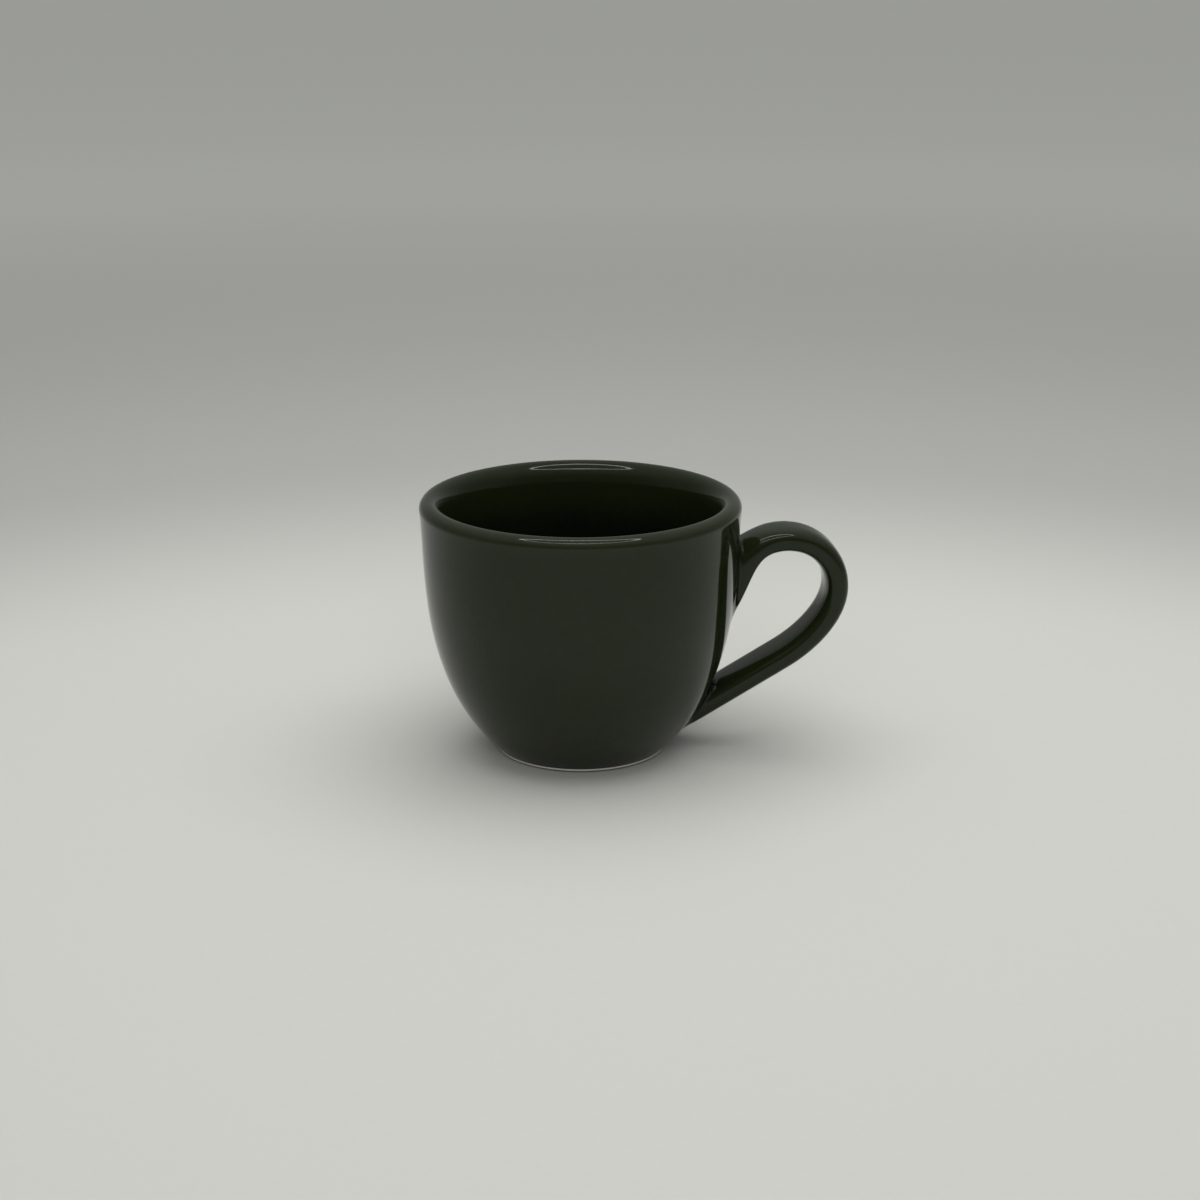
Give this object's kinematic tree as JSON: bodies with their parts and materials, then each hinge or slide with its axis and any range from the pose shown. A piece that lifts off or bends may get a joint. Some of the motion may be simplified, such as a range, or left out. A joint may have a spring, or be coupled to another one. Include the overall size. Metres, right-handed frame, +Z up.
{
  "type": "espresso cup",
  "caption": "Small espresso cup of glazed stoneware: rounded bowl with a thick rounded lip, a strap loop handle stuck on with slip, and a bare foot ring to stand on.",
  "frame": {"origin": "on the standing plane, under the middle of the whole cup with its handle; the bowl's axis is upright at x = -11.1 mm", "axes": "+Z up along the bowl's axis, +X along the handle, away from the bowl"},
  "size_m": [0.0872, 0.065, 0.0527],
  "materials": {
    "glaze": "gloss",
    "glazed_slip": "gloss",
    "bare_clay": "matte"
  },
  "bodies": {
    "root": {"bowl": "glaze", "foot_ring": "bare_clay", "handle": "glaze", "upper_slip_joint": "glazed_slip", "lower_slip_joint": "glazed_slip"}
  },
  "joints": []
}
